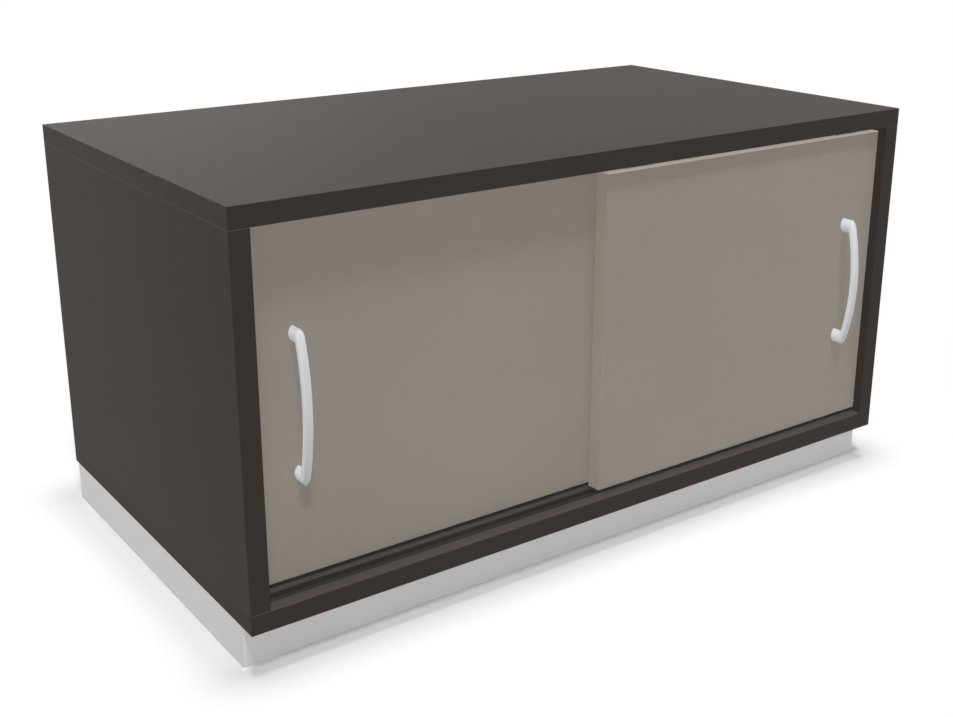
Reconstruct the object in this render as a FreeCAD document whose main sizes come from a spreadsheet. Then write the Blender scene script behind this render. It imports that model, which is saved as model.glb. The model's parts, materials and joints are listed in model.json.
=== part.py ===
import FreeCAD, Part
import math
import os
import re

import Sketcher

# A low office cabinet with two sliding doors, one running behind the other.
# Millimetres, +Z up. The origin lies on the floor, under the middle of the whole
# cabinet's box, which reaches from the front handle to the rear edges of the boards.
# The front faces -Y; left and right are as seen from the front.

V = FreeCAD.Vector

# ---------------------------------------------------------------- driving sizes

SIZES = {
    # carcass
    "carcass_width": 800,
    "carcass_depth": 440,
    "carcass_height": 375,
    "board_thickness": 19,
    "board_edge_bevel": 0.3,
    "back_thickness": 8,
    "back_inset": 12,
    "back_tongue": 8,
    "tongue_thickness": 5,
    "tongue_side_depth": 12,
    "tongue_face_depth": 8,
    "tongue_margin": 25,
    "tongue_play": 0.2,
    # doors
    "door_thickness": 16,
    "door_edge_bevel": 0.8,
    "door_overlap": 20,
    "door_end_gap": 1,
    "door_gap_below": 5.3,
    "door_gap_above": 5,
    "front_door_setback": 9,
    "door_plane_gap": 5.5,
    # running tracks; the running line is where the fittings stand, behind a door's face
    "running_line": 10.8,
    "track_width": 14,
    "track_wall": 1.4,
    "track_floor": 1.5,
    "bottom_track_depth": 7,
    "top_track_depth": 10,
    "bead_width": 2.4,
    "bead_drop": 1.5,
    "bead_round": 1,
    # rollers and their housings
    "roller_inset": 45,
    "roller_width": 6,
    "roller_run_radius": 10,
    "roller_flange": 1.3,
    "roller_lift": 0.3,
    "roller_side_play": 0.2,
    "axle_radius": 1.5,
    "running_play": 0.05,
    "press_play": 0.02,
    "housing_length": 52,
    "housing_height": 20,
    "housing_slot_play": 0.5,
    "housing_roof": 2.5,
    # upper door guides
    "guide_length": 36,
    "guide_depth": 16,
    "guide_tongue_length": 28,
    "guide_tongue_rise": 6.5,
    "guide_tongue_bevel": 1.5,
    "guide_side_play": 0.4,
    # stops and buffers
    "stop_length": 12,
    "stop_height": 7,
    "stop_play": 0.2,
    "handle_clearance": 9.5,
    "buffer_width": 10,
    "buffer_height": 30,
    "buffer_play": 0.2,
    "buffer_margin": 50,
    # bow handles
    "handle_pitch": 128,
    "handle_reach": 24.3,
    "handle_sagitta": 11,
    "handle_width": 8,
    "handle_thickness": 5.1,
    "handle_edge_bevel": 0.8,
    "handle_foot_length": 15,
    "handle_inset": 46.5,
    "handle_screw_radius": 2,
    "handle_screw_hole_play": 0.25,
    "handle_thread_play": 0.05,
    "handle_thread_depth": 9,
    "handle_screw_bite": 8,
    "handle_screw_head_radius": 4,
    "handle_screw_head_height": 2.4,
    # plinth
    "plinth_height": 40,
    "plinth_front_setback": 20,
    "plinth_rear_setback": 6,
    "plinth_wall": 1.5,
    "plinth_corner_radius": 3,
    "plinth_flange": 25,
    # levelling feet and their brackets
    "floor_gap": 1,
    "foot_head_radius": 13,
    "foot_head_height": 8,
    "foot_spindle_radius": 4,
    "foot_spindle_gap": 0.5,
    "foot_play": 0.3,
    "bracket_gap": 0.5,
    "bracket_plate": 44,
    "bracket_thickness": 3,
    "bracket_bush_radius": 8,
}

# ---------------------------------------------- places that follow from the sizes

DERIVED = {
    "carcass_left": "-carcass_width / 2",
    "carcass_front": "(handle_reach - front_door_setback - carcass_depth) / 2",
    "carcass_bottom": "floor_gap + plinth_height",
    "floor_board_top": "carcass_bottom + board_thickness",
    "top_board_bottom": "carcass_bottom + carcass_height - board_thickness",
    "inner_width": "carcass_width - 2 * board_thickness",
    "inner_height": "carcass_height - 2 * board_thickness",
    "back_front": "carcass_depth - back_inset - back_thickness",
    "tongue_low": "(board_thickness - tongue_thickness) / 2",
    "tongue_high": "tongue_low + tongue_thickness",
    "tongue_rear": "carcass_depth - tongue_margin",
    "door_width": "(inner_width - 2 * door_end_gap + door_overlap) / 2",
    "door_height": "inner_height - door_gap_below - door_gap_above",
    "door_bottom": "floor_board_top + door_gap_below",
    "front_door_front": "carcass_front + front_door_setback",
    "rear_door_front": "front_door_front + door_thickness + door_plane_gap",
    "rear_door_left": "carcass_left + board_thickness + door_end_gap",
    "front_door_left": "rear_door_left + inner_width - 2 * door_end_gap - door_width",
    "front_track_middle": "front_door_setback + running_line",
    "rear_track_middle": "front_track_middle + door_thickness + door_plane_gap",
    "track_channel": "track_width - 2 * track_wall",
    "bead_height": "bottom_track_depth - track_floor - bead_drop",
    "roller_radius": "roller_run_radius + roller_flange",
    "roller_centre": "floor_board_top - bead_drop + roller_lift + roller_run_radius",
    "roller_rise": "roller_centre - door_bottom",
    "roller_root": "bead_width + 2 * roller_side_play",
    "fitting_width": "2 * (door_thickness - running_line)",
    "housing_slot_width": "roller_width + 2 * housing_slot_play",
    "housing_slot_length": "2 * (roller_radius + housing_slot_play)",
    "guide_tongue_width": "track_channel - 2 * guide_side_play",
    "guide_tongue_height": "door_gap_above + guide_tongue_rise",
    "rear_handle_right": "rear_door_left + handle_inset + handle_width / 2",
    "door_travel": "front_door_left - rear_handle_right - handle_clearance",
    "buffer_proud": "door_end_gap - buffer_play",
    "handle_height": "inner_height / 2 - door_gap_below",
    "handle_half": "(handle_pitch + handle_foot_length) / 2",
    "handle_end_reach": "handle_reach - handle_sagitta",
    "bow_end": "handle_half + handle_edge_bevel",
    "bow_outer_radius": "(handle_half ^ 2 + handle_sagitta ^ 2) / (2 * handle_sagitta)",
    "bow_inner_radius": "bow_outer_radius - handle_thickness",
    "bow_centre": "bow_outer_radius - handle_reach",
    "foot_cheek_radius": "(handle_foot_length ^ 2 + handle_width ^ 2) / (4 * handle_width)",
    "foot_cheek_centre": "foot_cheek_radius - handle_width / 2",
    "handle_foot_neck": "handle_end_reach - handle_edge_bevel",
    "handle_screw_length": "door_thickness + handle_screw_bite",
    "plinth_depth": "carcass_depth - plinth_front_setback - plinth_rear_setback",
    "plinth_front": "carcass_front + plinth_front_setback",
    "flange_bottom": "carcass_bottom - plinth_wall",
    "foot_inset": "plinth_wall + bracket_gap + bracket_plate / 2",
    "bracket_bottom": "flange_bottom - bracket_thickness",
    "bush_length": "bracket_bottom - foot_head_height - foot_play",
}

doc = FreeCAD.newDocument("sliding_door_cabinet")
sheet = doc.addObject("Spreadsheet::Sheet", "Sizes")


def fill_sheet():
    """One row per size: its name, and its number or its formula."""
    rows = [(name, str(number)) for name, number in SIZES.items()]
    rows += [(name, "=" + formula) for name, formula in DERIVED.items()]
    for row, (name, content) in enumerate(rows, 1):
        sheet.set(f"A{row}", name)
        sheet.set(f"B{row}", content)
        sheet.setAlias(f"B{row}", name)
    doc.recompute()


fill_sheet()


def linked(text):
    """An expression written with bare size names, as the document reads it."""

    def link(word):
        known = word[0] in SIZES or word[0] in DERIVED
        return "Sizes." + word[0] if known else word[0]

    return re.sub(r"[a-z_]+", link, text)


def value(text):
    return float(sheet.evalExpression(linked(text)))


def bind(thing, **sizes):
    for name, text in sizes.items():
        thing.setExpression(name, linked(text))


def place(thing, x="0", y="0", z="0"):
    for axis, text in zip("xyz", (x, y, z)):
        thing.setExpression("Placement.Base." + axis, linked(text))


# --------------------------------------------------------------- sketch helpers


def new_body(label):
    return doc.addObject("PartDesign::Body", label)


def new_sketch(body, plane, height="0"):
    """An empty sketch on one of the body's own planes, raised along its normal."""
    sketch = body.newObject("Sketcher::SketchObject", body.Name + "_sketch")
    support = next(f for f in body.Origin.OriginFeatures if f.Role == plane + "_Plane")
    sketch.AttachmentSupport = [(support, "")]
    sketch.MapMode = "FlatFace"
    sketch.setExpression("AttachmentOffset.Base.z", linked(height))
    return sketch


def pin(sketch, geometry, point, spot):
    """Tie a point of the sketch to two expressions, measured from its origin."""
    for kind, axis, text in zip(("DistanceX", "DistanceY"), (-2, -1), spot):
        if text == "0":
            sketch.addConstraint(Sketcher.Constraint("PointOnObject", geometry, point, axis))
            continue
        rule = Sketcher.Constraint(kind, -1, 1, geometry, point, value(text))
        measure(sketch, rule, text)


def measure(sketch, rule, text):
    number = sketch.addConstraint(rule)
    sketch.setExpression(f"Constraints[{number}]", linked(text))


def spot_of(spot):
    return V(value(spot[0]), value(spot[1]), 0)


def draw_outline(sketch, corners):
    """A closed outline of straight sides through corners given as expressions."""
    first = sketch.GeometryCount
    count = len(corners)
    spots = [spot_of(corner) for corner in corners]
    for side in range(count):
        line = Part.LineSegment(spots[side], spots[(side + 1) % count])
        sketch.addGeometry(line, False)
    for side in range(count):
        after = first + (side + 1) % count
        sketch.addConstraint(Sketcher.Constraint("Coincident", first + side, 2, after, 1))
        pin(sketch, first + side, 1, corners[side])


def draw_rectangle(sketch, left, bottom, right, top):
    draw_outline(sketch, [(left, bottom), (right, bottom), (right, top), (left, top)])


def draw_hexagon(sketch, radius):
    turns = (30, 90, 150, 210, 270, 330)
    draw_outline(sketch, [(f"{radius} * cos({a})", f"{radius} * sin({a})") for a in turns])


def draw_arch(sketch, springing, radius):
    """Two upright sides that stand on the sketch's X axis under a half-round top."""
    bend = value(radius)
    middle = V(0, value(springing), 0)
    right, left = V(bend, 0, 0), V(-bend, 0, 0)
    top, left_side, base, right_side = range(4)
    start, end = 1, 2
    ring = Part.Circle(middle, V(0, 0, 1), bend)
    sketch.addGeometry(Part.ArcOfCircle(ring, 0, math.pi), False)
    sketch.addGeometry(Part.LineSegment(middle + left, left), False)
    sketch.addGeometry(Part.LineSegment(left, right), False)
    sketch.addGeometry(Part.LineSegment(right, middle + right), False)
    sketch.addConstraint(
        [
            Sketcher.Constraint("Tangent", top, end, left_side, start),
            Sketcher.Constraint("Coincident", left_side, end, base, start),
            Sketcher.Constraint("Coincident", base, end, right_side, start),
            Sketcher.Constraint("Tangent", right_side, end, top, start),
            Sketcher.Constraint("Vertical", left_side),
            Sketcher.Constraint("Vertical", right_side),
            Sketcher.Constraint("Horizontal", base),
            Sketcher.Constraint("PointOnObject", base, start, -1),
        ]
    )
    pin(sketch, top, 3, ("0", springing))
    measure(sketch, Sketcher.Constraint("Radius", top, bend), radius)


def draw_circle(sketch, x, y, radius):
    ring = Part.Circle(spot_of((x, y)), V(0, 0, 1), value(radius))
    number = sketch.addGeometry(ring, False)
    pin(sketch, number, 3, (x, y))
    measure(sketch, Sketcher.Constraint("Radius", number, value(radius)), radius)


def draw_rounded(sketch, left, bottom, right, top, radius):
    """A rectangle with rounded corners: four sides and four tangent quarter arcs."""
    centres = [
        (f"{right} - {radius}", f"{bottom} + {radius}"),
        (f"{right} - {radius}", f"{top} - {radius}"),
        (f"{left} + {radius}", f"{top} - {radius}"),
        (f"{left} + {radius}", f"{bottom} + {radius}"),
    ]
    bend = value(radius)
    first = sketch.GeometryCount
    for corner, centre in enumerate(centres):
        out = [V(0, -bend, 0), V(bend, 0, 0), V(0, bend, 0), V(-bend, 0, 0)][corner]
        start = spot_of(centres[corner - 1]) + out
        middle = spot_of(centre)
        sketch.addGeometry(Part.LineSegment(start, middle + out), False)
        turn = math.radians(90 * corner - 90)
        round_corner = Part.Circle(middle, V(0, 0, 1), bend)
        arc = Part.ArcOfCircle(round_corner, turn, turn + math.radians(90))
        sketch.addGeometry(arc, False)
    count = 2 * len(centres)
    for step in range(count):
        after = first + (step + 1) % count
        sketch.addConstraint(Sketcher.Constraint("Tangent", first + step, 2, after, 1))
    for corner, centre in enumerate(centres):
        arc = first + 2 * corner + 1
        pin(sketch, arc, 3, centre)
        measure(sketch, Sketcher.Constraint("Radius", arc, bend), radius)


# -------------------------------------------------------------- feature helpers


def pad(body, sketch, length, reverse=False, both_ways=False):
    feature = body.newObject("PartDesign::Pad", body.Name + "_pad")
    feature.Profile = sketch
    feature.Reversed = reverse
    if both_ways:
        feature.SideType = "Symmetric"
    bind(feature, Length=length)
    doc.recompute()
    return feature


def pocket(body, sketch, depth, reverse=False, both_ways=False):
    """Cut the sketch into the body; a cut that takes nothing away is an error."""
    before = body.Shape.Volume
    feature = body.newObject("PartDesign::Pocket", body.Name + "_pocket")
    feature.Profile = sketch
    feature.Reversed = reverse
    if both_ways:
        feature.SideType = "Symmetric"
    bind(feature, Length=depth)
    doc.recompute()
    if not body.Shape.Volume < before:
        raise RuntimeError(f"{feature.Name} cuts nothing")
    return feature


def revolve(body, sketch, axis):
    feature = body.newObject("PartDesign::Revolution", body.Name + "_revolution")
    feature.Profile = sketch
    feature.ReferenceAxis = (sketch, [axis])
    feature.Angle = 360
    doc.recompute()
    return feature


def round_edges(body, feature, edges, radius):
    rounding = body.newObject("PartDesign::Fillet", body.Name + "_fillet")
    rounding.Base = (feature, edges)
    bind(rounding, Radius=radius)
    doc.recompute()
    return rounding


def bevel_edges(body, feature, edges, size):
    bevel = body.newObject("PartDesign::Chamfer", body.Name + "_chamfer")
    bevel.Base = (feature, edges)
    bind(bevel, Size=size)
    doc.recompute()
    return bevel


X, Y, Z = V(1, 0, 0), V(0, 1, 0), V(0, 0, 1)


def edge_names(feature, wanted):
    """Names of the feature's edges for which wanted(edge) holds."""
    edges = enumerate(feature.Shape.Edges, 1)
    return [f"Edge{number}" for number, edge in edges if wanted(edge)]


def straight_edges(feature, directions):
    """Names of the feature's straight edges that run along one of the directions."""

    def along(edge):
        if edge.Curve.TypeId != "Part::GeomLine":
            return False
        return any(abs(edge.Curve.Direction.dot(way)) > 0.999 for way in directions)

    return edge_names(feature, along)


def level_edges(feature, height):
    """Names of the feature's edges that lie flat at one height."""
    near = 0.01
    return edge_names(
        feature, lambda edge: all(abs(end.Z - height) < near for end in edge.Vertexes)
    )


def group(label, members):
    """Several like pieces, still separate solids, under one name."""
    bundle = doc.addObject("Part::Compound", label)
    bundle.Links = members
    return bundle


def box(name, length, width, height, x, y, z):
    block = doc.addObject("Part::Box", name)
    bind(block, Length=length, Width=width, Height=height)
    place(block, x, y, z)
    return block


# ---------------------------------------------------------------------- carcass


def foot_spots():
    """The levelling feet by corner, measured from the plinth's front left corner."""
    sides = {"left": "foot_inset", "right": "carcass_width - foot_inset"}
    ends = {"front": "foot_inset", "rear": "plinth_depth - foot_inset"}
    return {f"{end}_{side}": (sides[side], ends[end]) for end in ends for side in sides}


def lying_board(label, inner_face, cut_up, track_depth):
    """A full-width board with grooves for the tracks, the back and the side joints."""
    body = new_body(label)
    sketch = new_sketch(body, "XY")
    draw_rectangle(sketch, "0", "0", "carcass_width", "carcass_depth")
    board = pad(body, sketch, "board_thickness")
    bevel_edges(body, board, straight_edges(board, (X, Y, Z)), "board_edge_bevel")

    grooves = new_sketch(body, "XY", inner_face)
    for middle in ("front_track_middle", "rear_track_middle"):
        draw_rectangle(
            grooves,
            "board_thickness",
            f"{middle} - track_width / 2",
            "carcass_width - board_thickness",
            f"{middle} + track_width / 2",
        )
    pocket(body, grooves, track_depth, reverse=cut_up)

    back_groove = new_sketch(body, "XY", inner_face)
    draw_rectangle(
        back_groove,
        "board_thickness - back_tongue",
        "back_front",
        "carcass_width - board_thickness + back_tongue",
        "back_front + back_thickness",
    )
    pocket(body, back_groove, "back_tongue", reverse=cut_up)

    joints = new_sketch(body, "XY", inner_face)
    for near, far in (
        ("tongue_low", "tongue_high"),
        ("carcass_width - tongue_high", "carcass_width - tongue_low"),
    ):
        draw_rectangle(joints, near, "tongue_margin", far, "tongue_rear")
    pocket(body, joints, "tongue_face_depth", reverse=cut_up)
    return body


def top_panel():
    body = lying_board("top_panel", "0", True, "top_track_depth")
    place(body, "carcass_left", "carcass_front", "top_board_bottom")
    return body


def bottom_panel():
    body = lying_board("bottom_panel", "board_thickness", False, "bottom_track_depth")
    place(body, "carcass_left", "carcass_front", "carcass_bottom")
    return body


def side_panel(label, left, inner_face, cut_right):
    """A side that stands between the boards, grooved for the back and the joints."""
    body = new_body(label)
    sketch = new_sketch(body, "XY")
    draw_rectangle(sketch, "0", "0", "board_thickness", "carcass_depth")
    board = pad(body, sketch, "inner_height")
    bevel_edges(body, board, straight_edges(board, (X, Y, Z)), "board_edge_bevel")

    back_groove = new_sketch(body, "YZ", inner_face)
    draw_rectangle(back_groove, "back_front", "0", "back_front + back_thickness", "inner_height")
    pocket(body, back_groove, "back_tongue", reverse=cut_right)

    for height, cut_up in (("0", True), ("inner_height", False)):
        joint = new_sketch(body, "XY", height)
        draw_rectangle(joint, "tongue_low", "tongue_margin", "tongue_high", "tongue_rear")
        pocket(body, joint, "tongue_side_depth", reverse=cut_up)
    place(body, left, "carcass_front", "floor_board_top")
    return body


def back_panel():
    return box(
        "back_panel",
        "inner_width + 2 * back_tongue",
        "back_thickness",
        "inner_height + 2 * back_tongue",
        "carcass_left + board_thickness - back_tongue",
        "carcass_front + back_front",
        "floor_board_top - back_tongue",
    )


def joint_tongues():
    """Loose tongues glued into the stopped grooves between sides and boards."""
    starts = (
        "floor_board_top - tongue_face_depth + tongue_play",
        "top_board_bottom - tongue_side_depth + tongue_play",
    )
    columns = ("carcass_left + tongue_low", "carcass_left + carcass_width - tongue_high")
    tongues = [
        box(
            "tongue",
            "tongue_thickness",
            "tongue_rear - tongue_margin - 2 * tongue_play",
            "tongue_side_depth + tongue_face_depth - 2 * tongue_play",
            x,
            "carcass_front + tongue_margin + tongue_play",
            z,
        )
        for z in starts
        for x in columns
    ]
    return group("joint_tongues", tongues)


# ------------------------------------------------------------- tracks and stops


def bottom_track(label, middle):
    """Plastic channel let into the board, with the bead that the rollers ride on."""
    body = new_body(label)
    sketch = new_sketch(body, "YZ")
    bead_top = "track_floor + bead_height"
    right_half = [
        ("track_width / 2", "0"),
        ("track_width / 2", "bottom_track_depth"),
        ("track_channel / 2", "bottom_track_depth"),
        ("track_channel / 2", "track_floor"),
        ("bead_width / 2", "track_floor"),
        ("bead_width / 2", bead_top),
    ]
    left_half = [(f"-{y}", z) for y, z in reversed(right_half)]
    draw_outline(sketch, right_half + left_half)
    channel = pad(body, sketch, "inner_width")
    level = level_edges(channel, value(bead_top))
    crests = [name for name in straight_edges(channel, (X,)) if name in level]
    round_edges(body, channel, crests, "bead_round")
    place(
        body,
        "carcass_left + board_thickness",
        f"carcass_front + {middle}",
        "floor_board_top - bottom_track_depth",
    )
    return body


def top_track(label, middle):
    """Channel open downwards, in which the door's upper guides slide."""
    body = new_body(label)
    sketch = new_sketch(body, "YZ")
    right_half = [
        ("track_channel / 2", "top_track_depth - track_floor"),
        ("track_channel / 2", "0"),
        ("track_width / 2", "0"),
        ("track_width / 2", "top_track_depth"),
    ]
    left_half = [(f"-{y}", z) for y, z in reversed(right_half)]
    draw_outline(sketch, right_half + left_half)
    pad(body, sketch, "inner_width")
    place(
        body,
        "carcass_left + board_thickness",
        f"carcass_front + {middle}",
        "top_board_bottom",
    )
    return body


def track_stops():
    """Blocks in the top tracks that end each door's travel before it meets the
    other door's handle."""
    reach = "guide_tongue_length / 2 + door_travel + stop_play"
    front = f"front_door_left + roller_inset - ({reach}) - stop_length"
    rear = f"rear_door_left + door_width - roller_inset + {reach}"
    blocks = [
        box(
            "stop",
            "stop_length",
            "track_channel",
            "stop_height",
            left,
            f"carcass_front + {middle} - track_channel / 2",
            "top_board_bottom + top_track_depth - track_floor - stop_height",
        )
        for left, middle in ((front, "front_track_middle"), (rear, "rear_track_middle"))
    ]
    return group("track_stops", blocks)


def door_buffers():
    """Rubber pads stuck on the sides, two for each door to close against."""
    right = "carcass_left + carcass_width - board_thickness - buffer_proud"
    left = "carcass_left + board_thickness"
    pads = [
        box(
            "buffer",
            "buffer_proud",
            "buffer_width",
            "buffer_height",
            x,
            f"{front} + (door_thickness - buffer_width) / 2",
            f"floor_board_top + {height}",
        )
        for height in ("buffer_margin", "inner_height - buffer_margin - buffer_height")
        for x, front in ((right, "front_door_front"), (left, "rear_door_front"))
    ]
    return group("door_buffers", pads)


# ----------------------------------------------------------------------- plinth


def plinth_frame():
    """Folded steel: an upright wall all round with a flange turned in at the top,
    which is bonded to the bottom board."""
    body = new_body("plinth_frame")
    outer = new_sketch(body, "XY")
    draw_rounded(outer, "0", "0", "carcass_width", "plinth_depth", "plinth_corner_radius")
    pad(body, outer, "plinth_height")

    opening = new_sketch(body, "XY", "plinth_height")
    flange = "plinth_flange"
    draw_rectangle(opening, flange, flange, f"carcass_width - {flange}", f"plinth_depth - {flange}")
    pocket(body, opening, "plinth_height")

    inside = new_sketch(body, "XY")
    wall = "plinth_wall"
    right, rear = f"carcass_width - {wall}", f"plinth_depth - {wall}"
    draw_rounded(inside, wall, wall, right, rear, f"(plinth_corner_radius - {wall})")
    pocket(body, inside, "plinth_height - plinth_wall", reverse=True)
    place(body, "carcass_left", "plinth_front", "floor_gap")
    return body


# ---------------------------------------------------------------- levelling feet


def foot_brackets():
    """Plates welded under the flange's corners, each with a long threaded bush."""
    brackets = []
    for x, y in foot_spots().values():
        body = new_body("foot_bracket")
        plate = new_sketch(body, "XY")
        half = "bracket_plate / 2"
        draw_rectangle(plate, f"-{half}", f"-{half}", half, half)
        pad(body, plate, "bracket_thickness")
        bush = new_sketch(body, "XY")
        draw_hexagon(bush, "bracket_bush_radius")
        pad(body, bush, "bush_length", reverse=True)
        bore = new_sketch(body, "XY", "bracket_thickness")
        draw_circle(bore, "0", "0", "foot_spindle_radius + running_play")
        pocket(body, bore, "bracket_thickness + bush_length")
        place(body, f"carcass_left + {x}", f"plinth_front + {y}", "bracket_bottom")
        brackets.append(body)
    return group("foot_brackets", brackets)


def levelling_foot(corner, x, y):
    """A hexagonal foot on a spindle that screws up into the bracket's bush."""
    body = new_body(f"{corner}_foot")
    head = new_sketch(body, "XY")
    draw_hexagon(head, "foot_head_radius")
    pad(body, head, "foot_head_height")
    spindle = new_sketch(body, "XY", "foot_head_height")
    draw_circle(spindle, "0", "0", "foot_spindle_radius")
    pad(body, spindle, "flange_bottom - foot_spindle_gap - foot_head_height")
    place(body, f"carcass_left + {x}", f"plinth_front + {y}", "0")
    return body


# ------------------------------------------------------------------------ doors


RUNNING_GEAR = {"left": "roller_inset", "right": "door_width - roller_inset"}


def door_panel(name, handle_x):
    """The leaf, with pockets for its running gear and holes for the handle."""
    body = new_body(f"{name}_panel")
    sketch = new_sketch(body, "XY")
    draw_rectangle(sketch, "0", "0", "door_width", "door_thickness")
    leaf = pad(body, sketch, "door_height")
    bevel_edges(body, leaf, straight_edges(leaf, (X, Y, Z)), "door_edge_bevel")

    below = new_sketch(body, "XY")
    above = new_sketch(body, "XY", "door_height")
    for x in RUNNING_GEAR.values():
        draw_pocket_for(below, x, "housing_length")
        draw_pocket_for(above, x, "guide_length")
    pocket(body, below, "housing_height", reverse=True)
    pocket(body, above, "guide_depth")

    holes = new_sketch(body, "XZ")
    for way in "-+":
        y = f"handle_height {way} handle_pitch / 2"
        draw_circle(holes, handle_x, y, "handle_screw_radius + handle_screw_hole_play")
    pocket(body, holes, "door_thickness")
    return body


def draw_pocket_for(sketch, x, length):
    """A rectangle for a fitting, which is let in flush with the back of the door."""
    front = "door_thickness - fitting_width"
    draw_rectangle(sketch, f"{x} - {length} / 2", front, f"{x} + {length} / 2", "door_thickness")


def draw_centred(sketch, length, width):
    draw_rectangle(sketch, f"-{length} / 2", f"-{width} / 2", f"{length} / 2", f"{width} / 2")


def roller_housing():
    """Moulded housing in the door's lower edge: a slot for the roller, across it an
    open-ended arch that the axle is snapped into from below."""
    body = new_body("roller_housing")
    shell = new_sketch(body, "XY")
    draw_centred(shell, "housing_length", "fitting_width")
    pad(body, shell, "housing_height")
    slot = new_sketch(body, "XY")
    draw_centred(slot, "housing_slot_length", "housing_slot_width")
    pocket(body, slot, "housing_height - housing_roof", reverse=True)
    seat = new_sketch(body, "XZ")
    draw_arch(seat, "roller_rise", "axle_radius + press_play")
    pocket(body, seat, "fitting_width", both_ways=True)
    return body


def roller(label):
    """A wheel with a flange on each side of its tread, to straddle the track's bead."""
    body = new_body(label)
    right_half = [
        ("roller_width / 2", "axle_radius + running_play"),
        ("roller_width / 2", "roller_radius"),
        ("roller_root / 2", "roller_radius"),
        ("roller_root / 2", "roller_run_radius"),
    ]
    left_half = [(f"-{across}", out) for across, out in reversed(right_half)]
    section = new_sketch(body, "YZ")
    draw_outline(section, right_half + left_half)
    revolve(body, section, "H_Axis")
    return body


def axle():
    pin = doc.addObject("Part::Cylinder", "axle")
    pin.Placement.Rotation = FreeCAD.Rotation(Z, Y)
    bind(pin, Radius="axle_radius", Height="fitting_width")
    return pin


def top_guide():
    """Guide in the door's upper edge, its bevelled tongue running in the top track."""
    body = new_body("top_guide")
    root = new_sketch(body, "XY")
    draw_centred(root, "guide_length", "fitting_width")
    pad(body, root, "guide_depth", reverse=True)
    tongue = new_sketch(body, "XY")
    draw_centred(tongue, "guide_tongue_length", "guide_tongue_width")
    whole = pad(body, tongue, "guide_tongue_height")
    rim = level_edges(whole, value("guide_tongue_height"))
    bevel_edges(body, whole, rim, "guide_tongue_bevel")
    return body


def bow_handle(label):
    """A flat bar bent to one arc and pointed like a boat at both ends, on two feet.
    Each foot is as wide as the bar and lens-shaped where it meets the door."""
    body = new_body(label)
    side = new_sketch(body, "YZ")
    draw_bow(side)
    pad(body, side, "2 * handle_width", both_ways=True)
    surplus = new_sketch(body, "XZ")
    draw_rectangle(surplus, "-2 * handle_width", "-2 * bow_end", "2 * handle_width", "2 * bow_end")
    draw_boat(surplus)
    bow = pocket(body, surplus, "2 * handle_reach", reverse=True)
    curved = edge_names(bow, lambda edge: edge.Curve.TypeId != "Part::GeomLine")
    bevel_edges(body, bow, curved, "handle_edge_bevel")

    feet = new_sketch(body, "XZ")
    threads = new_sketch(body, "XZ")
    for way in ("-", ""):
        draw_lens(feet, f"{way}handle_pitch / 2")
        draw_circle(threads, "0", f"{way}handle_pitch / 2", "handle_screw_radius")
    pad(body, feet, "handle_foot_neck")
    pocket(body, threads, "handle_thread_depth", reverse=True)
    return body


def draw_cheek(sketch, way, height, start, end):
    """One arc of a foot's outline, bulging to the right ("") or to the left ("-")."""
    opposite = "-" if way == "" else ""
    centre = (f"{opposite}foot_cheek_centre", height)
    ring = Part.Circle(spot_of(centre), V(0, 0, 1), value("foot_cheek_radius"))
    arc = sketch.addGeometry(Part.ArcOfCircle(ring, start, end), False)
    pin(sketch, arc, 3, centre)
    measure(sketch, Sketcher.Constraint("Radius", arc, ring.Radius), "foot_cheek_radius")
    return arc


def draw_lens(sketch, height):
    """A foot's outline on the door: two arcs that meet in a point above and below."""
    lean = math.asin(value("handle_foot_length / 2") / value("foot_cheek_radius"))
    right = draw_cheek(sketch, "", height, -lean, lean)
    left = draw_cheek(sketch, "-", height, math.pi - lean, math.pi + lean)
    sketch.addConstraint(Sketcher.Constraint("Coincident", right, 2, left, 1))
    sketch.addConstraint(Sketcher.Constraint("Coincident", left, 2, right, 1))


def draw_boat(sketch):
    """The handle seen from the front: straight sides that run into the feet's arcs."""
    lean = math.asin(value("handle_foot_length / 2") / value("foot_cheek_radius"))
    half = value("handle_width / 2")
    pitch = value("handle_pitch / 2")
    low, high = "-handle_pitch / 2", "handle_pitch / 2"
    right_high = draw_cheek(sketch, "", high, 0, lean)
    left_high = draw_cheek(sketch, "-", high, math.pi - lean, math.pi)
    left_low = draw_cheek(sketch, "-", low, math.pi, math.pi + lean)
    right_low = draw_cheek(sketch, "", low, -lean, 0)
    left = sketch.addGeometry(Part.LineSegment(V(-half, pitch, 0), V(-half, -pitch, 0)), False)
    right = sketch.addGeometry(Part.LineSegment(V(half, -pitch, 0), V(half, pitch, 0)), False)
    sketch.addConstraint(
        [
            Sketcher.Constraint("Coincident", right_high, 2, left_high, 1),
            Sketcher.Constraint("Tangent", left_high, 2, left, 1),
            Sketcher.Constraint("Tangent", left, 2, left_low, 1),
            Sketcher.Constraint("Coincident", left_low, 2, right_low, 1),
            Sketcher.Constraint("Tangent", right_low, 2, right, 1),
            Sketcher.Constraint("Tangent", right, 2, right_high, 1),
        ]
    )


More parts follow.
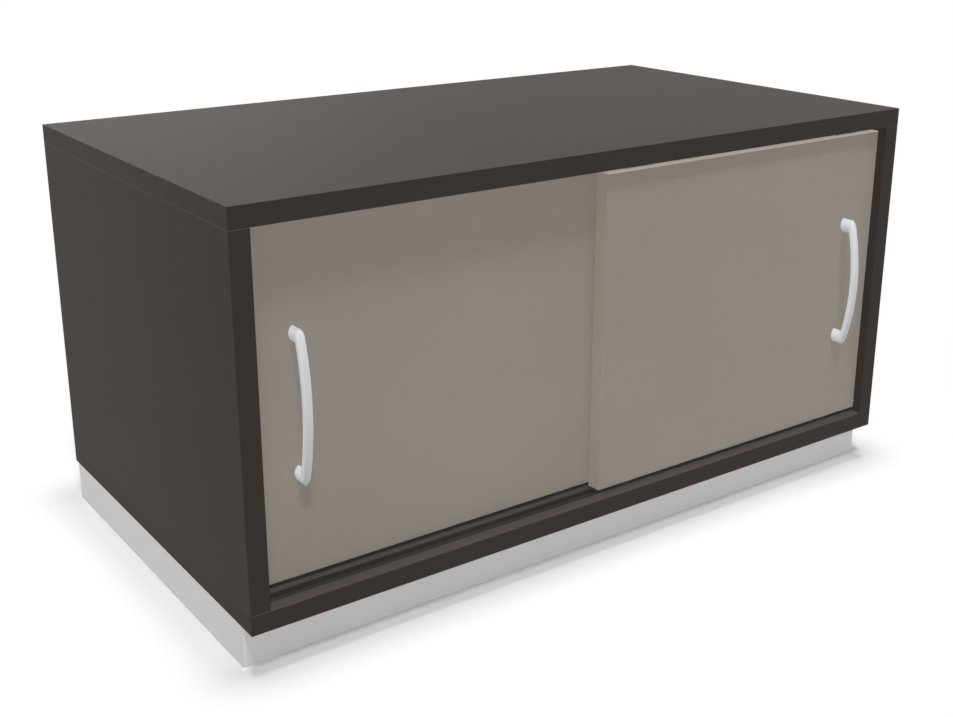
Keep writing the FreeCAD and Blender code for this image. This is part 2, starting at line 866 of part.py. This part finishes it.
def draw_bow(side):
    """The bow seen from the side: two concentric arcs closed by level ends."""
    centre = V(value("bow_centre"), 0, 0)
    outer, inner = 0, 1
    top, bottom, middle = 1, 2, 3
    for arc, radius in ((outer, "bow_outer_radius"), (inner, "bow_inner_radius")):
        ring = Part.Circle(centre, V(0, 0, 1), value(radius))
        lean = math.asin(value("bow_end") / value(radius))
        side.addGeometry(Part.ArcOfCircle(ring, math.pi - lean, math.pi + lean), False)
        pin(side, arc, middle, ("bow_centre", "0"))
        measure(side, Sketcher.Constraint("Radius", arc, value(radius)), radius)
    for point, height in ((top, "bow_end"), (bottom, "-bow_end")):
        ends = [side.getPoint(arc, point) for arc in (outer, inner)]
        line = side.addGeometry(Part.LineSegment(*ends), False)
        side.addConstraint(Sketcher.Constraint("Coincident", outer, point, line, 1))
        side.addConstraint(Sketcher.Constraint("Coincident", inner, point, line, 2))
        side.addConstraint(Sketcher.Constraint("Horizontal", line))
        rule = Sketcher.Constraint("DistanceY", -1, 1, outer, point, value(height))
        measure(side, rule, height)


def handle_screw(x, y, z):
    """A hexagon-head screw driven from the back of the door into the handle's foot."""
    screw = doc.addObject("Part::Fuse", "handle_screw")
    screw.Base = doc.addObject("Part::Cylinder", "shank")
    screw.Tool = doc.addObject("Part::Prism", "head")
    bind(screw.Base, Radius="handle_screw_radius - handle_thread_play", Height="handle_screw_length")
    bind(screw.Tool, Circumradius="handle_screw_head_radius", Height="handle_screw_head_height")
    for part, way in ((screw.Base, -Y), (screw.Tool, Y)):
        part.Placement.Rotation = FreeCAD.Rotation(Z, way)
        place(part, x, y, z)
    return screw


def door(name, left, front, handle_x):
    """One sliding door: leaf, handle, handle screws, running gear and guides."""
    panel = door_panel(name, handle_x)
    place(panel, left, front, "door_bottom")

    handle = bow_handle(f"{name}_handle")
    handle_spot = f"{left} + {handle_x}"
    centre = "door_bottom + handle_height"
    place(handle, handle_spot, front, centre)
    back = f"{front} + door_thickness"
    screws = [handle_screw(handle_spot, back, f"{centre} {way} handle_pitch / 2") for way in "-+"]

    middle = f"{front} + running_line"
    rollers, housings, axles, guides = [], [], [], []
    for side, x in RUNNING_GEAR.items():
        spot = f"{left} + {x}"
        housings.append(roller_housing())
        place(housings[-1], spot, middle, "door_bottom")
        rollers.append(roller(f"{name}_{side}_roller"))
        place(rollers[-1], spot, middle, "roller_centre")
        axles.append(axle())
        place(axles[-1], spot, f"{middle} - fitting_width / 2", "roller_centre")
        guides.append(top_guide())
        place(guides[-1], spot, middle, "door_bottom + door_height")
    return rollers + [
        panel,
        handle,
        group(f"{name}_handle_screws", screws),
        group(f"{name}_roller_housings", housings),
        group(f"{name}_roller_axles", axles),
        group(f"{name}_top_guides", guides),
    ]


# --------------------------------------------------------------------- assembly


def build():
    right_side = "carcass_left + carcass_width - board_thickness"
    pieces = [
        top_panel(),
        bottom_panel(),
        side_panel("left_side_panel", "carcass_left", "board_thickness", False),
        side_panel("right_side_panel", right_side, "0", True),
        back_panel(),
        joint_tongues(),
        bottom_track("front_bottom_track", "front_track_middle"),
        bottom_track("rear_bottom_track", "rear_track_middle"),
        top_track("front_top_track", "front_track_middle"),
        top_track("rear_top_track", "rear_track_middle"),
        track_stops(),
        door_buffers(),
        plinth_frame(),
        foot_brackets(),
    ]
    pieces += [levelling_foot(corner, x, y) for corner, (x, y) in foot_spots().items()]
    front_handle_x = "door_width - handle_inset"
    pieces += door("front_door", "front_door_left", "front_door_front", front_handle_x)
    pieces += door("rear_door", "rear_door_left", "rear_door_front", "handle_inset")
    return pieces


def check(pieces):
    """Every object computed, every piece a valid shape of solids."""
    for thing in doc.Objects:
        if any(word in state for state in thing.State for word in ("Invalid", "Error")):
            raise RuntimeError(f"{thing.Name} is {thing.State}")
    for piece in pieces:
        shape = piece.Shape
        if shape.isNull() or not shape.isValid() or not shape.Solids:
            raise RuntimeError(f"{piece.Label} has no valid solid")


def export(pieces):
    os.makedirs("parts", exist_ok=True)
    for piece in pieces:
        piece.Shape.exportStep(f"parts/{piece.Label}.step")


pieces = build()
doc.recompute()
check(pieces)
export(pieces)
print(f"{len(pieces)} pieces, door travel {value('door_travel'):.1f} mm")
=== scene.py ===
import json
import math

import bmesh
import bpy
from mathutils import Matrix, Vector


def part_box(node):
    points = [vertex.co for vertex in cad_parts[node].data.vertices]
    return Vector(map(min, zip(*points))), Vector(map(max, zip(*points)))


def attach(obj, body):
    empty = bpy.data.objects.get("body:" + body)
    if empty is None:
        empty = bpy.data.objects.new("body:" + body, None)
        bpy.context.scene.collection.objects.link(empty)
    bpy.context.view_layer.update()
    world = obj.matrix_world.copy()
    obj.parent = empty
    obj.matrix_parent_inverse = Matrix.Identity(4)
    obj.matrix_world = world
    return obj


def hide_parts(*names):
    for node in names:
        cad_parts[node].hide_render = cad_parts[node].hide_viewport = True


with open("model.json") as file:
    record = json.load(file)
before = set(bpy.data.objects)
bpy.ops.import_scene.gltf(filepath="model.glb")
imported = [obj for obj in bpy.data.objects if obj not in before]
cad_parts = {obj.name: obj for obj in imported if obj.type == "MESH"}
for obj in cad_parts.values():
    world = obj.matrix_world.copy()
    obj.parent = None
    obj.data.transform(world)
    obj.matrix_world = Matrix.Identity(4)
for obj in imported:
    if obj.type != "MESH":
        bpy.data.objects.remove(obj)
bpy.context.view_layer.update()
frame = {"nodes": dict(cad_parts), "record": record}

MM = 0.001


def add_object(name, data):
    """A new object in the scene."""
    made = bpy.data.objects.new(name, data)
    bpy.context.scene.collection.objects.link(made)
    return made


# ------------------------------------------------------------------ camera
# Solved from the carcass's seven visible corners in the photo.

PHOTO = (953, 717)
PHOTO_MIDDLE = (477.34, 305.0)
FOCAL_PX = 1315.48
EYE = Vector((-0.80633, -1.12158, 0.65161))
AZIMUTH = math.radians(-35.168)
ELEVATION = math.radians(17.814)
SENSOR = 36


def aim_camera():
    camera = bpy.data.cameras.new("camera")
    camera.sensor_width = SENSOR
    camera.lens = FOCAL_PX * SENSOR / PHOTO[0]
    camera.shift_x = (PHOTO[0] / 2 - PHOTO_MIDDLE[0]) / PHOTO[0]
    camera.shift_y = (PHOTO_MIDDLE[1] - PHOTO[1] / 2) / PHOTO[0]
    back = Vector(
        (
            math.sin(AZIMUTH) * math.cos(ELEVATION),
            -math.cos(AZIMUTH) * math.cos(ELEVATION),
            math.sin(ELEVATION),
        )
    )
    view = add_object("camera", camera)
    view.location = EYE
    view.rotation_euler = back.to_track_quat("Z", "Y").to_euler()
    bpy.context.scene.camera = view


aim_camera()

# ------------------------------------------------------------ shader nodes
# An owner is a material or the world; inputs are numbers, colours or outputs.

MIX_FIRST, MIX_SECOND, MIX_RESULT = 6, 7, 2  # a Mix node's colour sockets


def feed(owner, node, inputs):
    for name, content in inputs.items():
        if isinstance(content, bpy.types.NodeSocket):
            owner.node_tree.links.new(content, node.inputs[name])
        else:
            node.inputs[name].default_value = content


def add(owner, kind, inputs=(), **settings):
    """A shader node with its settings, and its inputs set or linked by name."""
    made = owner.node_tree.nodes.new("ShaderNode" + kind)
    for name, setting in settings.items():
        setattr(made, name, setting)
    feed(owner, made, dict(inputs))
    return made


def calculate(owner, operation, *values):
    return add(owner, "Math", enumerate(values), operation=operation).outputs[0]


def ramp(owner, value, start, end, low=0.0, high=1.0, shape="LINEAR"):
    """From low to high while the value goes from start to end, and level beyond."""
    limits = {"From Min": start, "From Max": end, "To Min": low, "To Max": high}
    made = add(owner, "MapRange", {"Value": value, **limits}, interpolation_type=shape)
    return made.outputs["Result"]


def blend(material, share, first, second):
    """The first colour where the share is 0 and the second where it is 1."""
    inputs = {"Factor": share, MIX_FIRST: first, MIX_SECOND: second}
    return add(material, "Mix", inputs, data_type="RGBA").outputs[MIX_RESULT]


def part_of(owner, vector, axis):
    return add(owner, "SeparateXYZ", {"Vector": vector}).outputs[axis]


def own_place(material):
    return add(material, "TexCoord").outputs["Object"]


def seen_directly(owner):
    """1 for what the camera sees, straight or in a mirror or through glass."""
    rays = add(owner, "LightPath").outputs
    shown = rays["Is Camera Ray"]
    for other in ("Is Glossy Ray", "Is Transmission Ray"):
        shown = calculate(owner, "MAXIMUM", shown, rays[other])
    return shown


def new_material(name):
    material = bpy.data.materials.new(name)
    material.use_nodes = True
    return material


def shader_of(material):
    return material.node_tree.nodes["Principled BSDF"]


def rgba(colour, gain=1.0):
    return (*(gain * part for part in colour), 1.0)


# --------------------------------------------------------------- materials

NOISE_DETAIL = 3.0
GRAIN_STRETCH = (1, 1, 1.6)
CLOUD_SCALE = 9.0
CLOUD_STRETCH = (1, 1, 1)
NOISE_SUM = (0.7, 1.3)  # the two noises' sum at either end of the colour's variety
GLOSS_VARIETY = 0.06
BUMP_STRENGTH = 0.6


def noise(material, scale, stretch):
    """Noise in the object's own metres, stretched along its axes."""
    stretched = add(material, "Mapping", {"Vector": own_place(material), "Scale": stretch})
    inputs = {"Vector": stretched.outputs["Vector"], "Scale": scale, "Detail": NOISE_DETAIL}
    return add(material, "TexNoise", inputs).outputs["Fac"]


def mottled(name, colour, roughness, variety, grain, relief, specular=0.5):
    """A surface whose colour, gloss and relief all vary finely. The variety is the
    colour's share up and down, the grain a scale, and the relief is in metres."""
    material = new_material(name)
    fine = noise(material, grain, GRAIN_STRETCH)
    cloud = noise(material, CLOUD_SCALE, CLOUD_STRETCH)
    spread = ramp(material, calculate(material, "ADD", fine, cloud), *NOISE_SUM)
    dull, glossy = roughness + GLOSS_VARIETY, roughness - GLOSS_VARIETY
    bump = {"Height": fine, "Distance": relief, "Strength": BUMP_STRENGTH}
    look = {
        "Base Color": blend(
            material, spread, rgba(colour, 1 - variety), rgba(colour, 1 + variety)
        ),
        "Roughness": ramp(material, fine, 0.0, 1.0, glossy, dull),
        "Normal": add(material, "Bump", bump).outputs["Normal"],
        "Specular IOR Level": specular,
    }
    feed(material, shader_of(material), look)
    return material


# ------------------------------------------------- painted highlights on edges, painted light on side faces

# Rounding radii of the bevel normals that mask the painted edge highlights.
BOARD_EDGE = 0.6 * MM
DOOR_EDGE = 0.8 * MM
BEVEL_SAMPLES = 4
SLANT = (0.08, 0.24)  # z * (1 - z) of a normal, where an edge's painted highlight starts and is full
TURN = (0.99, 0.9)  # the same two for the cosine between a face and its rounding, for the painted edge highlight
SQUARE_ON = 0.9  # a normal's part along an axis, above which a face looks that way


def rounded_normal(material, radius):
    bevel = add(material, "Bevel", {"Radius": radius}, samples=BEVEL_SAMPLES)
    return bevel.outputs["Normal"]


def flat_normal(material):
    return add(material, "NewGeometry").outputs["True Normal"]


def upward_edge_highlight(material, radius):
    """1 where an upright face's rounding looks upwards at a slant, else 0: the mask of a
    painted highlight that stands in for light from above on these edges.
    """
    tilt = part_of(material, rounded_normal(material, radius), "Z")
    level = calculate(material, "SUBTRACT", 1.0, tilt)
    share = ramp(material, calculate(material, "MULTIPLY", tilt, level), *SLANT)
    facing = part_of(material, flat_normal(material), "Z")
    upright = calculate(material, "LESS_THAN", facing, SQUARE_ON)
    return calculate(material, "MULTIPLY", share, upright)


def edge_highlight(material, radius):
    """1 where a face turns over an edge, else 0: the mask of a painted highlight on the
    door's edges.
    """
    normals = {0: rounded_normal(material, radius), 1: flat_normal(material)}
    both = add(material, "VectorMath", normals, operation="DOT_PRODUCT")
    return ramp(material, both.outputs["Value"], *TURN)


def side_face_light(material):
    """1 on the edges of a door's board that look sideways, else 0: the mask of painted light
    that makes these side faces as bright as the front.
    """
    facing = part_of(material, flat_normal(material), "X")
    sideways = calculate(material, "ABSOLUTE", facing)
    return calculate(material, "GREATER_THAN", sideways, SQUARE_ON)


# Paints a lighter colour over the base colour where the share is 1; every use is a painted
# highlight or painted light.
def paint_light(material, share, colour):
    shader = shader_of(material)
    plain = shader.inputs["Base Color"].links[0].from_socket
    feed(material, shader, {"Base Color": blend(material, share, plain, rgba(colour))})


# -------------------------------------------------------- looks of the parts


def carcass_board(name, edge=None):
    """The dark board, where asked with a painted highlight, a lighter colour, on its upward
    edges.
    """
    made = mottled(
        name, (0.0308, 0.0256, 0.0224),
        roughness=0.54, variety=0.05, grain=700, relief=0.00001, specular=0.04,
    )
    # edge is the colour of the painted highlight on the upward edges, not a colour of the
    # board.
    if edge:
        paint_light(made, upward_edge_highlight(made, BOARD_EDGE), edge)
    return made


def door_board():
    """The lighter board, with painted light on its sideways faces and a painted highlight on
    its edges all round.
    """
    made = mottled(
        "door_melamine", (0.2187, 0.1945, 0.1694),
        roughness=0.5, variety=0.03, grain=700, relief=0.00001, specular=0.2,
    )
    # painted light on the sideways faces, then a painted highlight on every edge
    paint_light(made, side_face_light(made), (0.255, 0.227, 0.197))
    paint_light(made, edge_highlight(made, DOOR_EDGE), (0.30, 0.275, 0.25))
    return made


def zinc():
    made = mottled(
        "zinc_plated_steel", (0.6, 0.6, 0.58),
        roughness=0.3, variety=0.06, grain=500, relief=0.00001,
    )
    shader_of(made).inputs["Metallic"].default_value = 1.0
    return made


HANDLE = mottled(
    "handle_satin_metal", (0.446, 0.452, 0.464),
    roughness=0.4, variety=0.02, grain=1500, relief=0.00001,
)

SLOT_LOOKS = {
    "carcass_board": carcass_board("carcass_melamine"),
    "door_board": door_board(),
    "back_board": mottled(
        "back_melamine", (0.021, 0.0173, 0.0148),
        roughness=0.5, variety=0.06, grain=700, relief=0.00004, specular=0.2,
    ),
    "tongue_wood": mottled(
        "tongue_plywood", (0.45, 0.33, 0.21),
        roughness=0.7, variety=0.15, grain=300, relief=0.0001,
    ),
    "track_plastic": mottled(
        "track_plastic", (0.029, 0.0288, 0.0292),
        roughness=0.5, variety=0.08, grain=900, relief=0.00001, specular=0.0,
    ),
    "buffer_rubber": mottled(
        "buffer_rubber", (0.012, 0.012, 0.012),
        roughness=0.8, variety=0.1, grain=900, relief=0.00003,
    ),
    "plinth_steel": mottled(
        "plinth_powder_coat", (0.50, 0.50, 0.507),
        roughness=0.45, variety=0.02, grain=1600, relief=0.00003, specular=0.3,
    ),
    "fitting_steel": zinc(),
    "foot_plastic": mottled(
        "foot_plastic", (0.02, 0.02, 0.021),
        roughness=0.45, variety=0.08, grain=900, relief=0.00002,
    ),
    "handle_metal": HANDLE,
    "housing_plastic": mottled(
        "housing_plastic", (0.02, 0.02, 0.021),
        roughness=0.45, variety=0.08, grain=900, relief=0.00002,
    ),
    "roller_plastic": mottled(
        "roller_nylon", (0.03, 0.03, 0.031),
        roughness=0.4, variety=0.03, grain=900, relief=0.00001,
    ),
}

GUIDE = mottled(
    "guide_plastic", (0.23, 0.205, 0.18),
    roughness=0.45, variety=0.03, grain=900, relief=0.00001, specular=0.3,
)
# The side and bottom boards' second colours are painted highlights on their upward edges.
SIDE = carcass_board("side_melamine", (0.085, 0.081, 0.078))

NODE_LOOKS = {
    "front_door_top_guides": GUIDE,
    "rear_door_top_guides": GUIDE,
    "left_side_panel": SIDE,
    "right_side_panel": SIDE,
    # bottom board with a painted highlight on its upward edges
    "bottom_panel": carcass_board("bottom_melamine", (0.044, 0.040, 0.037)),
}


def dress_nodes():
    """Every CAD node gets its own look, or that of its slot in the record."""
    for part in frame["record"]["subparts"]:
        look = NODE_LOOKS.get(part["node"], SLOT_LOOKS[part["material_slot"]])
        for slot in frame["nodes"][part["node"]].material_slots:
            slot.material = look


dress_nodes()

# ----------------------------------------------------------------- handles

PITCH = 128 * MM
REACH = 24.3 * MM
SAGITTA = 11 * MM
BAR = 5.1 * MM
HALF_WIDTH = 4 * MM
HALF_FOOT = 7.5 * MM
CHEEK = (HALF_FOOT**2 + HALF_WIDTH**2) / (2 * HALF_WIDTH)
HALF_LENGTH = PITCH / 2 + HALF_FOOT
BOW = (HALF_LENGTH**2 + SAGITTA**2) / (2 * SAGITTA)

FRONT_ROUND = 1.2 * MM
BACK_ROUND = 0.7 * MM
MOST_ROUND = 0.98  # of half the bar's width, so that no two points meet
CORNER_STEPS = 4
END_RINGS = 14
HALF_RINGS = 24
BLUNT = 0.01 * MM  # what the last ring lacks to the bow's point
FOOT_STEPS = 16
FOOT_SHARE = 0.996  # the foot keeps this share of the bow's width
FOOT_OVERLAP = 1.5 * MM
SHARP = math.radians(40)


def cheek(offset):
    """Half the width of a foot's pointed outline at a height from its middle."""
    return max(math.sqrt(CHEEK**2 - offset**2) - (CHEEK - HALF_WIDTH), 0.0)


def bar_half_width(height):
    beyond = abs(height) - PITCH / 2
    return HALF_WIDTH if beyond < 0 else cheek(min(beyond, HALF_FOOT))


def bow_reach(height, radius):
    """How far the bow's surface of that radius stands off the door."""
    return math.sqrt(radius**2 - height**2) - (BOW - REACH)


def rounded_section(half, near, far):
    """A flat bar's section as (across, reach) points, rounded at its corners."""
    points = []
    corners = (
        (1, far, -1, FRONT_ROUND, 0),
        (-1, far, -1, FRONT_ROUND, 90),
        (-1, near, 1, BACK_ROUND, 180),
        (1, near, 1, BACK_ROUND, 270),
    )
    for side, edge, inward, bend, start in corners:
        bend = min(bend, half * MOST_ROUND)
        across, reach = side * (half - bend), edge + inward * bend
        for step in range(CORNER_STEPS + 1):
            turn = math.radians(start + 90 * step / CORNER_STEPS)
            points.append((across + bend * math.cos(turn), reach + bend * math.sin(turn)))
    return points


def skin(mesh, rings):
    """Joins equal rings of points into a closed surface with flat ends."""
    rows = [[mesh.verts.new(point) for point in ring] for ring in rings]
    for low, high in zip(rows, rows[1:]):
        for side in range(len(low)):
            after = (side + 1) % len(low)
            mesh.faces.new((low[side], low[after], high[after], high[side]))
    mesh.faces.new(rows[0])
    mesh.faces.new(rows[-1])


def bow_rings():
    """Level sections of the bow, closer together along its pointed ends."""
    turns = [math.radians(90 * n / END_RINGS) for n in range(END_RINGS)]
    ends = [PITCH / 2 + HALF_FOOT * math.sin(turn) for turn in turns]
    ends.append(HALF_LENGTH - BLUNT)
    middle = [PITCH / 2 * n / HALF_RINGS for n in range(1 - HALF_RINGS, HALF_RINGS)]
    for z in [-end for end in reversed(ends)] + middle + ends:
        near, far = bow_reach(z, BOW - BAR), bow_reach(z, BOW)
        yield [(x, -reach, z) for x, reach in rounded_section(bar_half_width(z), near, far)]


def foot_rings(middle):
    """The foot's pointed outline, at the door's face and inside the bow."""
    outline = []
    for side in (1, -1):
        for n in range(FOOT_STEPS):
            offset = -side * HALF_FOOT * math.cos(math.pi * n / FOOT_STEPS)
            outline.append((side * cheek(offset) * FOOT_SHARE, middle + offset))
    yield [(x, 0.0, z) for x, z in outline]
    yield [(x, -(bow_reach(z, BOW - BAR) + FOOT_OVERLAP), z) for x, z in outline]


def make_handle(node, body):
    low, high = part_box(node)
    mesh = bmesh.new()
    skin(mesh, bow_rings())
    for way in (-1, 1):
        skin(mesh, foot_rings(way * PITCH / 2))
    bmesh.ops.recalc_face_normals(mesh, faces=mesh.faces)
    data = bpy.data.meshes.new(node + "_bow")
    mesh.to_mesh(data)
    mesh.free()
    data.shade_smooth()
    data.set_sharp_from_angle(angle=SHARP)
    data.materials.append(HANDLE)
    bow = add_object(node + "_bow", data)
    bow.location = ((low[0] + high[0]) / 2, high[1], (low[2] + high[2]) / 2)
    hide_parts(node)
    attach(bow, body)
    return bow


bows = [
    make_handle("front_door_handle", "front_door"),
    make_handle("rear_door_handle", "rear_door"),
]

# ------------------------------------------------------------------- stage

HALF_FLOOR = 30.0
TOUCHING = 0.01 * MM  # nearer to the plinth's outline than this is under it
CREASE = 0.08  # width of the crease's glow, a painted light, as a share of the pool's
CREASE_GLOW = 0.5  # its strength at the plinth, as a share of the gap's
PAINTED_SHADE_WIDTH = 0.5  # width of the painted shade, as a share of the pool's


def distance_from_plinth(material):
    """How far a place is outside the plinth's outline, in all and along Y alone."""
    low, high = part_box("plinth_frame")
    ways = add(material, "SeparateXYZ", {"Vector": own_place(material)}).outputs
    past = {}
    for axis, name in enumerate("XY"):
        middle, half = (low[axis] + high[axis]) / 2, (high[axis] - low[axis]) / 2
        offset = calculate(material, "SUBTRACT", ways[name], middle)
        size = calculate(material, "ABSOLUTE", offset)
        over = calculate(material, "SUBTRACT", size, half)
        past[name] = calculate(material, "MAXIMUM", over, 0.0)
    both = add(material, "CombineXYZ", past).outputs["Vector"]
    length = add(material, "VectorMath", {0: both}, operation="LENGTH").outputs["Value"]
    return length, past["Y"]


def lay_floor(colour, near, bounce, lift, pool, gap):
    """A wide pale floor. What the camera and mirrors see of it is paler than what it throws
    back onto the object. The seen colour goes from near, at the plinth, to colour: a painted
    shade around the plinth. A glow of strength lift sets in over the pool's width from the
    plinth, so the floor glows less near the plinth: more painted shade. The gap under the
    plinth glows as well, and so does the crease just ahead of it: painted light that
    lightens their shadow."""
    mesh = bpy.data.meshes.new("floor")
    far = HALF_FLOOR
    corners = [(-far, -far, 0), (far, -far, 0), (far, far, 0), (-far, far, 0)]
    mesh.from_pydata(corners, [], [(0, 1, 2, 3)])
    floor = add_object("floor", mesh)

    material = new_material("floor")
    seen = seen_directly(material)
    past, forward = distance_from_plinth(material)

    # painted shade: the glow is weaker near the plinth, from none at its outline to lift at
    # the pool's width
    beyond = ramp(material, past, 0.0, pool, 0.0, lift, shape="SMOOTHSTEP")
    # painted light: glow in the gap under the plinth and in the crease just ahead of it
    under = calculate(material, "GREATER_THAN", TOUCHING, past)
    ahead = calculate(material, "GREATER_THAN", forward, 0.0)
    crease = ramp(material, past, 0.0, CREASE * pool, CREASE_GLOW * gap, 0.0)
    glow = calculate(material, "MULTIPLY_ADD", under, gap, beyond)
    glow = calculate(material, "MULTIPLY_ADD", crease, ahead, glow)

    # painted shade: the seen colour is darker near the plinth
    painted_shade = ramp(material, past, 0.0, PAINTED_SHADE_WIDTH * pool, near, colour, shape="SMOOTHSTEP")
    look = {
        "Base Color": ramp(material, seen, 0.0, 1.0, bounce, painted_shade),
        "Roughness": 1.0,
        "Specular IOR Level": 0.0,
        "Emission Color": rgba((1, 1, 1)),
        "Emission Strength": calculate(material, "MULTIPLY", seen, glow),
    }
    feed(material, shader_of(material), look)
    mesh.materials.append(material)
    return floor


# near is the painted shade's colour at the plinth; lift, gap and the crease glow paint shade
# and light around it
floor = lay_floor(colour=0.92, near=0.82, bounce=0.35, lift=0.13, pool=0.09, gap=0.33)

# ------------------------------------------------------------------ lights


def light_world(ambient):
    """White where it is seen, and this bright as light on the object."""
    world = bpy.data.worlds.new("studio")
    bpy.context.scene.world = world
    world.use_nodes = True
    strength = ramp(world, seen_directly(world), 0.0, 1.0, ambient, 1.0)
    background = world.node_tree.nodes["Background"]
    feed(world, background, {"Color": rgba((1, 1, 1)), "Strength": strength})


def hang_lamp(name, light, spread=0.0, shadow=True, gloss=1.0, only=None):
    """A far lamp; light is how much it gives surfaces that face -X, -Y and +Z."""
    lamp = bpy.data.lights.new(name, "SUN")
    towards = Vector((-light[0], -light[1], light[2]))
    lamp.energy = math.pi * towards.length
    lamp.angle = math.radians(spread)
    lamp.use_shadow = shadow
    lamp.specular_factor = gloss
    hung = add_object(name, lamp)
    hung.rotation_euler = towards.to_track_quat("Z", "Y").to_euler()
    if only:
        hung.light_linking.receiver_collection = only


def gather(name, things):
    made = bpy.data.collections.new(name)
    for thing in things:
        made.objects.link(thing)
    return made


def panels(*names):
    return [frame["nodes"][name + "_panel"] for name in names]


solids = [thing for thing in bpy.data.objects if thing.type == "MESH" and thing is not floor]
the_object = gather("lit_by_fills", solids)
low_places = gather("lit_by_low_fill", panels("bottom", "front_door", "rear_door"))
outer_boards = gather("lit_by_sheen", panels("top", "left_side", "right_side", "back"))
handles = gather("lit_by_handle_fill", bows)

light_world(ambient=0.022)
hang_lamp("key", (0.093, 0.2, 0.496), spread=12, gloss=0.0)
hang_lamp("overhead", (0.0, 0.0, 0.43), spread=16, gloss=0.0)
for name, light, lit in (
    ("left_fill", (0.69, 0.0, 0.2), the_object),
    ("front_fill", (-0.45, 0.715, 0.45), the_object),
    ("low_fill", (0.0, 0.0, 1.15), low_places),
    ("handle_fill", (0.3, 0.0, 0.0), handles),
    ("rear_fill", (-0.25, -0.5, 0.0), the_object),
):
    hang_lamp(name, light, shadow=False, gloss=0.0, only=lit)
hang_lamp("rear_sheen", (0.09, -0.43, 0.063), spread=80, shadow=False, only=outer_boards)

bpy.context.scene.view_settings.view_transform = "Standard"
